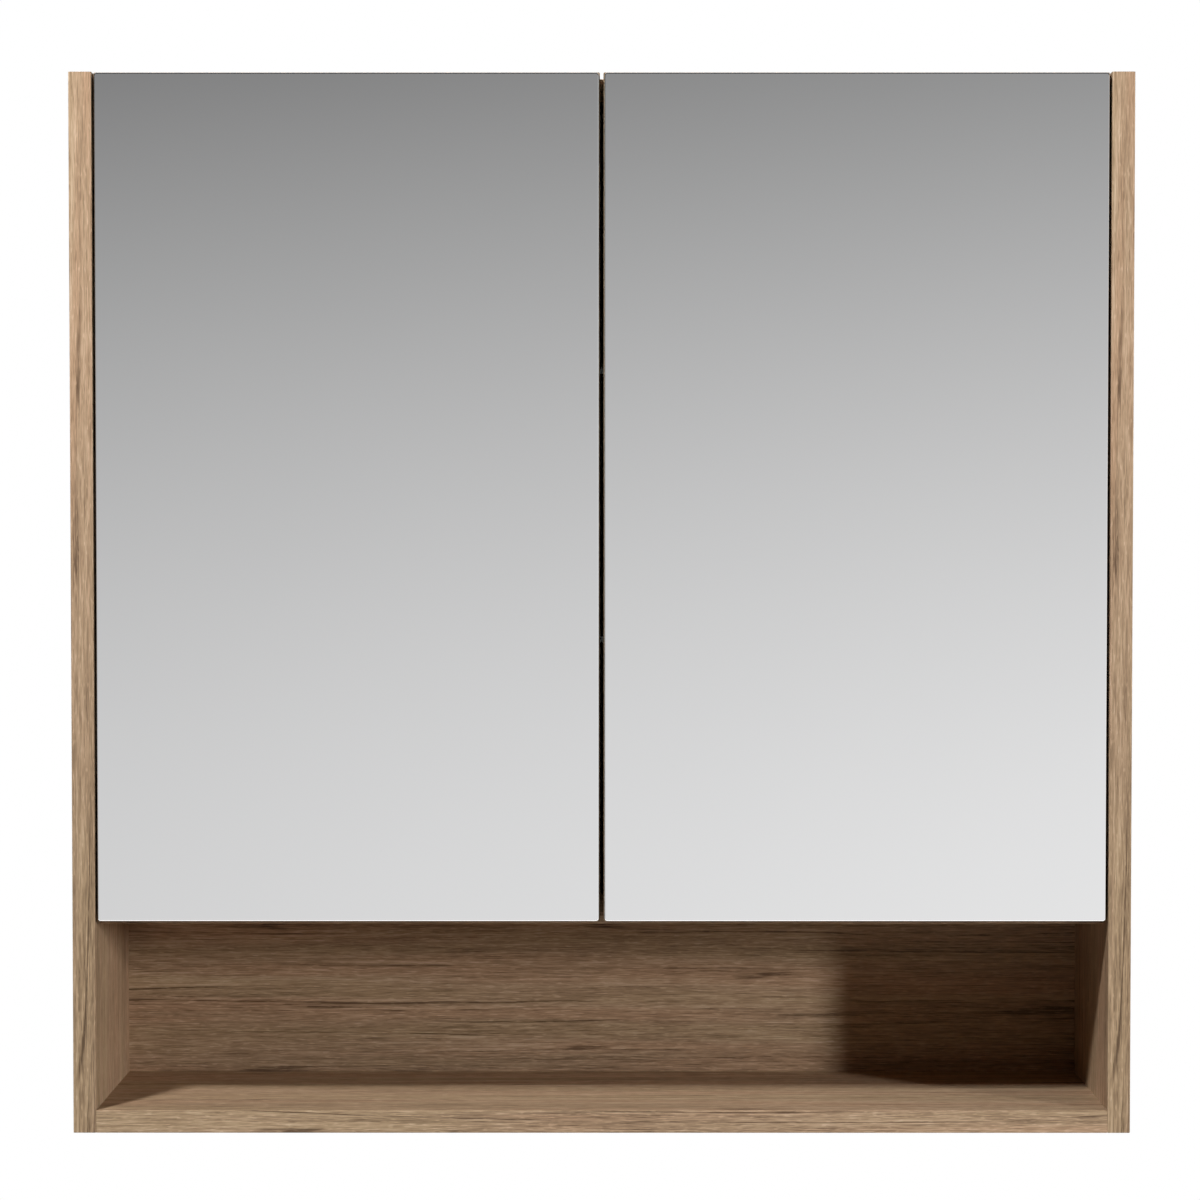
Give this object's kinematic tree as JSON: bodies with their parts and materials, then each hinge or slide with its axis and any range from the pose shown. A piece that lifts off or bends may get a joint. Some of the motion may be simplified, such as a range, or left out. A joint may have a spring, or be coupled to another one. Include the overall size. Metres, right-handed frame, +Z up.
{
  "type": "shaving cabinet",
  "caption": "Wall-hung woodgrain bathroom cabinet with mirror doors on concealed hinges, glass shelves behind them and an open niche below.",
  "frame": {"origin": "centre of the flat back face, on the wall", "axes": "+Z up, +Y into the wall, +X to the right as seen from the front"},
  "size_m": [0.75, 0.15, 0.75],
  "materials": {
    "woodgrain_board": "matt melamine with a fine oak grain",
    "woodgrain_edge_band": "matt edge band with the same grain",
    "white_board": "white melamine, satin",
    "mirror_glass": "silvered float glass, polished edges",
    "shelf_glass": "clear float glass, ground edges",
    "hinge_steel": "nickel-plated pressed steel",
    "screw_steel": "zinc-plated",
    "shelf_pin": "nickel-plated",
    "mounting_tape": "foam tape, matt",
    "clear_bumper": "clear soft plastic",
    "dowel_wood": "fluted beech"
  },
  "bodies": {
    "cabinet": {"back_panel_screws": "screw_steel", "bottom_dowels": "dowel_wood", "bottom_edge_band": "woodgrain_edge_band", "bottom_panel": "woodgrain_board", "cabinet_back_panel": "white_board", "left_hinge_arm_screws": "screw_steel", "left_hinge_plate_screws": "screw_steel", "left_lower_hinge_arm": "hinge_steel", "left_lower_hinge_plate": "hinge_steel", "left_side_edge_band": "woodgrain_edge_band", "left_side_panel": "woodgrain_board", "left_upper_hinge_arm": "hinge_steel", "left_upper_hinge_plate": "hinge_steel", "lower_glass_shelf": "shelf_glass", "lower_hanging_rail": "white_board", "lower_shelf_pins": "shelf_pin", "middle_dowels": "dowel_wood", "middle_edge_band": "woodgrain_edge_band", "middle_panel": "woodgrain_board", "niche_back_panel": "woodgrain_board", "rail_dowels": "dowel_wood", "right_hinge_arm_screws": "screw_steel", "right_hinge_plate_screws": "screw_steel", "right_lower_hinge_arm": "hinge_steel", "right_lower_hinge_plate": "hinge_steel", "right_side_edge_band": "woodgrain_edge_band", "right_side_panel": "woodgrain_board", "right_upper_hinge_arm": "hinge_steel", "right_upper_hinge_plate": "hinge_steel", "top_dowels": "dowel_wood", "top_edge_band": "woodgrain_edge_band", "top_panel": "woodgrain_board", "upper_glass_shelf": "shelf_glass", "upper_hanging_rail": "white_board", "upper_shelf_pins": "shelf_pin"},
    "left_door": {"left_door_board": "woodgrain_board", "left_door_bumpers": "clear_bumper", "left_door_cup_screws": "screw_steel", "left_door_edge_bands": "woodgrain_edge_band", "left_door_mirror": "mirror_glass", "left_door_tapes": "mounting_tape", "left_lower_hinge_cup": "hinge_steel", "left_upper_hinge_cup": "hinge_steel"},
    "right_door": {"right_door_board": "woodgrain_board", "right_door_bumpers": "clear_bumper", "right_door_cup_screws": "screw_steel", "right_door_edge_bands": "woodgrain_edge_band", "right_door_mirror": "mirror_glass", "right_door_tapes": "mounting_tape", "right_lower_hinge_cup": "hinge_steel", "right_upper_hinge_cup": "hinge_steel"},
    "left_hinge_links": {"left_hinge_inner_links": "hinge_steel", "left_hinge_link_pins": "hinge_steel", "left_hinge_outer_links": "hinge_steel"},
    "right_hinge_links": {"right_hinge_inner_links": "hinge_steel", "right_hinge_link_pins": "hinge_steel", "right_hinge_outer_links": "hinge_steel"}
  },
  "joints": [
    {"name": "left_door_swing", "type": "hinge", "parent": "cabinet", "child": "left_door", "pos_m": [-0.35505, -0.148, 0.075], "axis": [0, 0, -1], "range_deg": [0, 95]},
    {"name": "left_link_travel", "type": "slide", "parent": "cabinet", "child": "left_hinge_links", "axis": [0, -1, 0], "range_m": [0, 0.0215]},
    {"name": "right_door_swing", "type": "hinge", "parent": "cabinet", "child": "right_door", "pos_m": [0.35505, -0.148, 0.075], "axis": [0, 0, 1], "range_deg": [0, 95]},
    {"name": "right_link_travel", "type": "slide", "parent": "cabinet", "child": "right_hinge_links", "axis": [0, -1, 0], "range_m": [0, 0.0215]}
  ],
  "couplings": [
    {"joint": "left_link_travel", "follows": "left_door_swing", "m_per_rad": 0.012665},
    {"joint": "right_link_travel", "follows": "right_door_swing", "m_per_rad": 0.012665}
  ]
}
